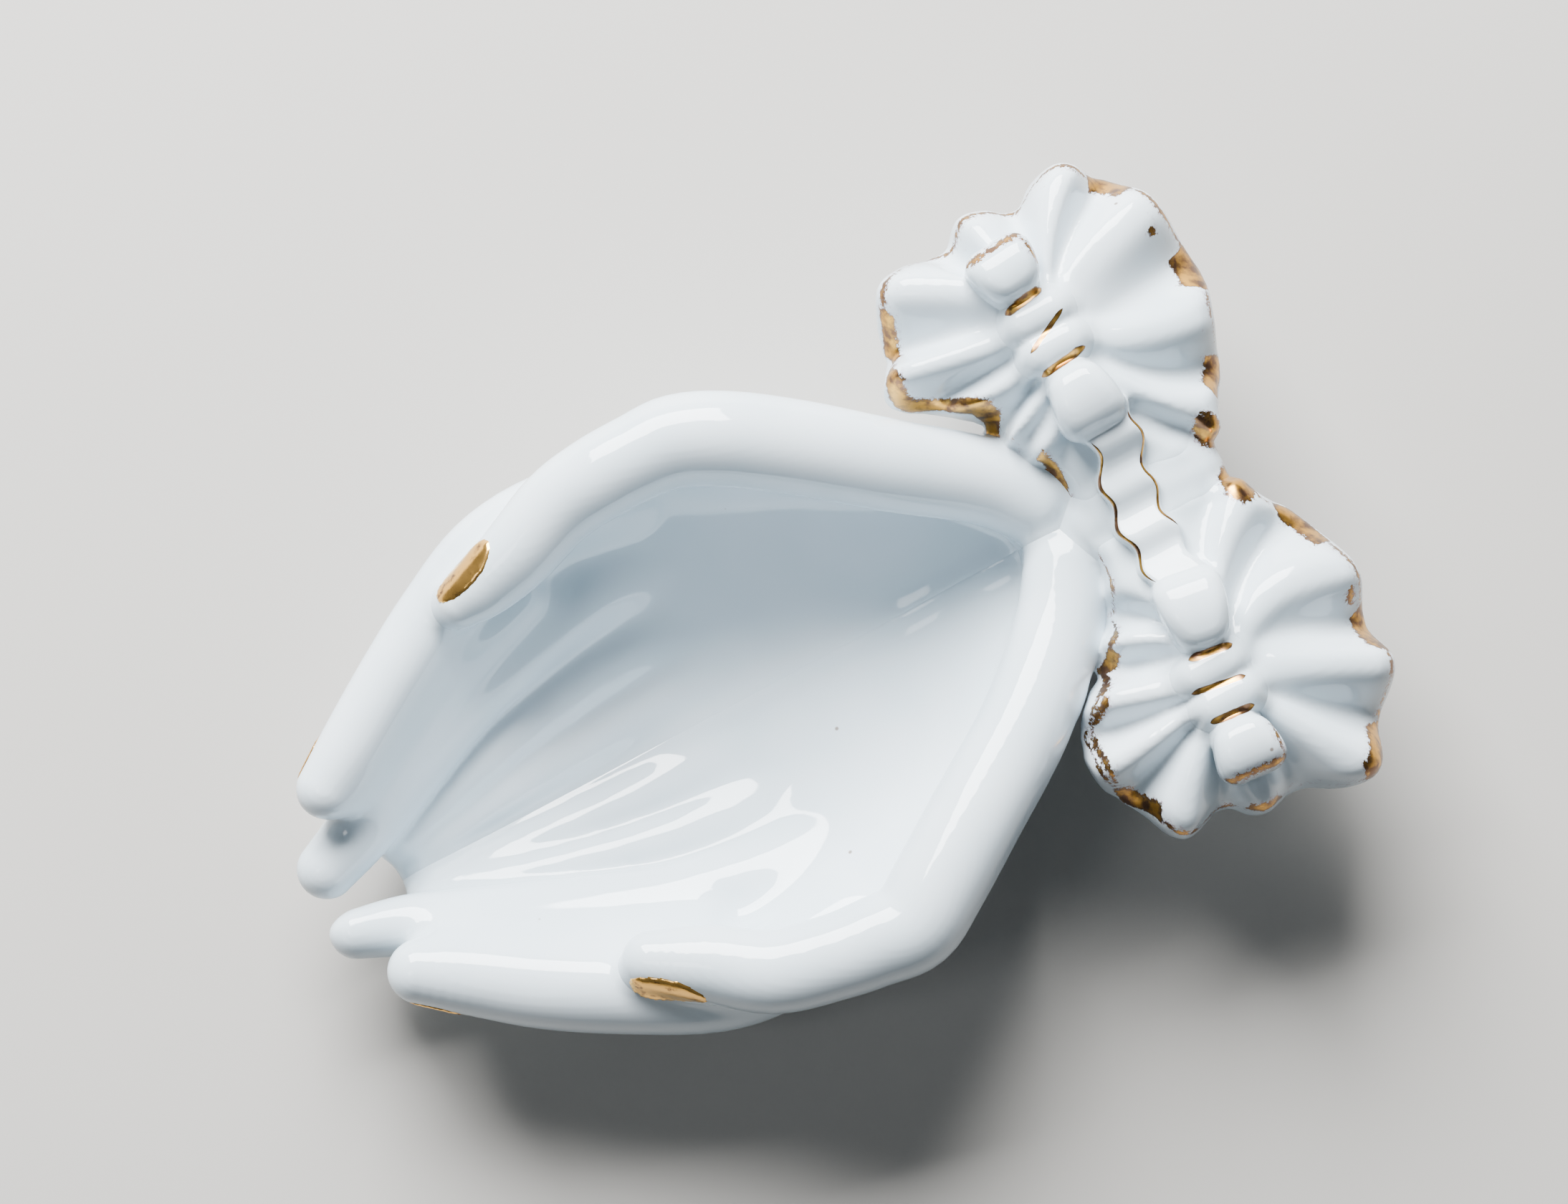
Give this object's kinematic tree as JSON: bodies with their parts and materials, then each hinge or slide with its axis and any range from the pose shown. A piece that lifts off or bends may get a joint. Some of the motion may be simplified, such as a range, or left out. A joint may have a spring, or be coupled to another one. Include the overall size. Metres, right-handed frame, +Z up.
{
  "type": "trinket dish",
  "caption": "Small glazed porcelain trinket dish shaped as cupped hands, palms up, with pleated cuffs, ribbon bows and gold lustre on the edges and nails.",
  "frame": {"origin": "on the table plane, under the middle of the dish's bounding box", "axes": "+Z up, -Y towards the fingertips, +Y towards the cuffs, +X towards the owner's left hand"},
  "size_m": [0.0726, 0.1146, 0.0306],
  "materials": {
    "porcelain": "gloss clear glaze over white porcelain",
    "gold_lustre": "worn fired gold lustre"
  },
  "bodies": {
    "root": {"right_hand": "porcelain", "right_thumb": "porcelain", "right_cuff_ruffle": "porcelain", "left_hand": "porcelain", "left_thumb": "porcelain", "left_cuff_ruffle": "porcelain", "wrist_yoke": "porcelain", "right_bow_outer_loop": "porcelain", "right_bow_knot": "porcelain", "right_bow_inner_loop": "porcelain", "left_bow_outer_loop": "porcelain", "left_bow_knot": "porcelain", "left_bow_inner_loop": "porcelain", "ribbon_band": "porcelain", "right_thumb_nail_gilding": "gold_lustre", "left_thumb_nail_gilding": "gold_lustre", "right_index_nail_gilding": "gold_lustre", "left_index_nail_gilding": "gold_lustre", "right_middle_nail_gilding": "gold_lustre", "left_middle_nail_gilding": "gold_lustre"}
  },
  "joints": []
}
